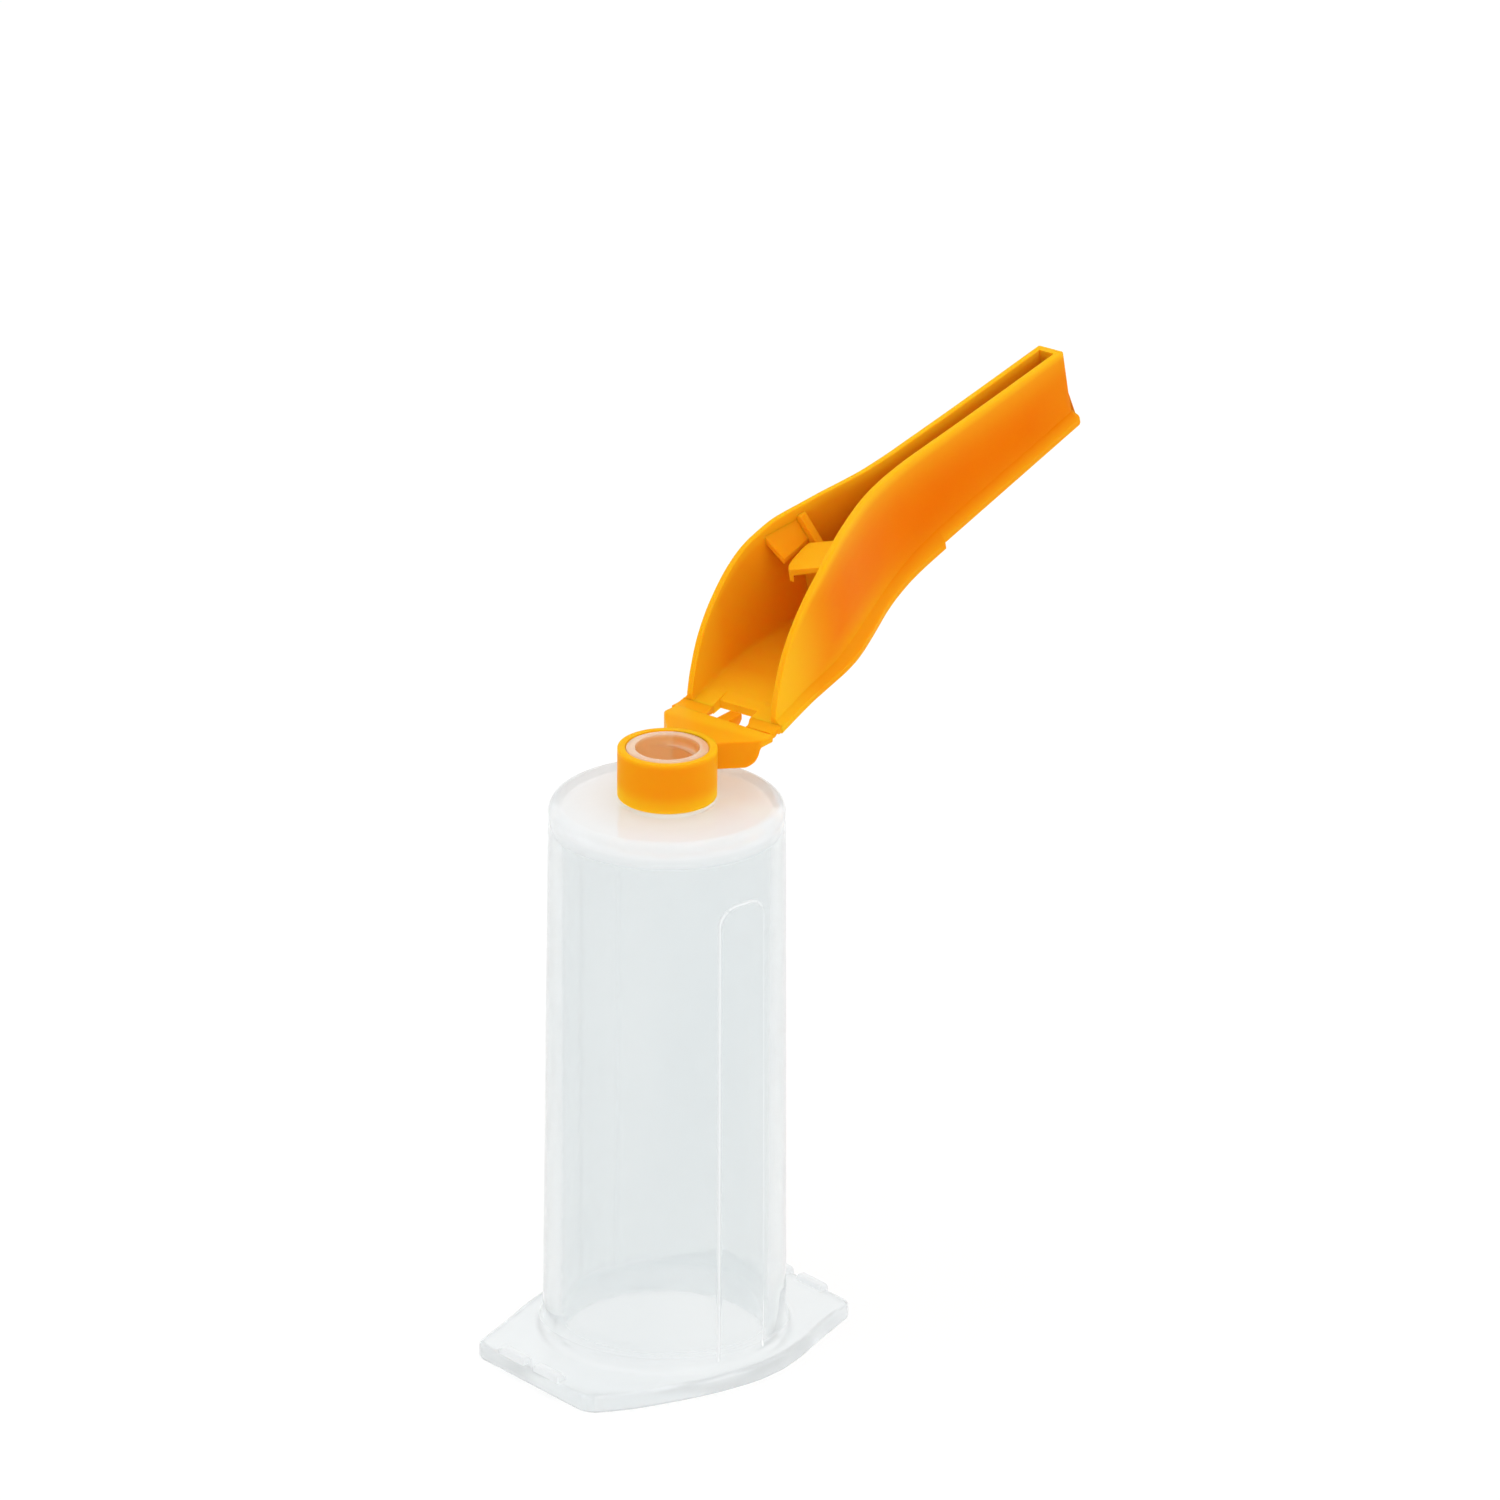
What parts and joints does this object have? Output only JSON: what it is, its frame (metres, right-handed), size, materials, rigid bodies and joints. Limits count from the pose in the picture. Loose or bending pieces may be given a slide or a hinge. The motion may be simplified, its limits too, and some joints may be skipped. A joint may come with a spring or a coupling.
{
  "type": "blood collection tube holder",
  "caption": "Translucent blood collection tube holder with a finger flange, threaded neck and turning orange collar that carries a hinged needle shield.",
  "frame": {"origin": "centre of the tube bore's mouth, in the plane of the finger flange's underside", "axes": "+Z along the barrel's axis towards the needle socket; +X the way the open shield leans; +Y across the shield, along its hinge"},
  "size_m": [0.0733, 0.0238, 0.0727],
  "materials": {
    "clear_plastic": "translucent, slightly frosted",
    "orange_plastic": "satin"
  },
  "bodies": {
    "holder": {"barrel": "clear_plastic", "top_wall": "clear_plastic", "threaded_neck": "clear_plastic", "finger_flange": "clear_plastic", "grip_rib_right_front": "clear_plastic", "grip_rib_right_back": "clear_plastic", "grip_rib_left_front": "clear_plastic", "grip_rib_left_back": "clear_plastic", "barrel_panel_front": "clear_plastic", "barrel_panel_back": "clear_plastic"},
    "collar": {"collar_ring": "orange_plastic", "hinge_arm": "orange_plastic", "stop_tab": "orange_plastic", "hinge_strap_left": "orange_plastic", "hinge_strap_right": "orange_plastic"},
    "shield": {"shield_back": "orange_plastic", "shield_spine": "orange_plastic", "shield_wall_left": "orange_plastic", "shield_wall_right": "orange_plastic", "shield_end_wall": "orange_plastic", "lock_rib": "orange_plastic", "guide_ramp": "orange_plastic", "catch_web": "orange_plastic"},
    "catch": {"needle_catch": "orange_plastic"}
  },
  "joints": [
    {"name": "collar_spin", "type": "hinge", "parent": "holder", "child": "collar", "pos_m": [0, 0, 0.052], "axis": [0, 0, 1], "continuous": true},
    {"name": "shield_hinge", "type": "hinge", "parent": "collar", "child": "shield", "pos_m": [0.0085, 0, 0.054], "axis": [0, 1, 0], "range_deg": [-79.5, 83], "deforming": ["hinge_strap_left", "hinge_strap_right"]},
    {"name": "catch_flex", "type": "hinge", "parent": "shield", "child": "catch", "pos_m": [0.01944, -0.00281, 0.06586], "axis": [-0.9481, -0.2305, -0.2189], "range_deg": [0, 40], "stiffness_Nm_per_rad": 0.0003, "deforming": ["catch_web"]}
  ]
}
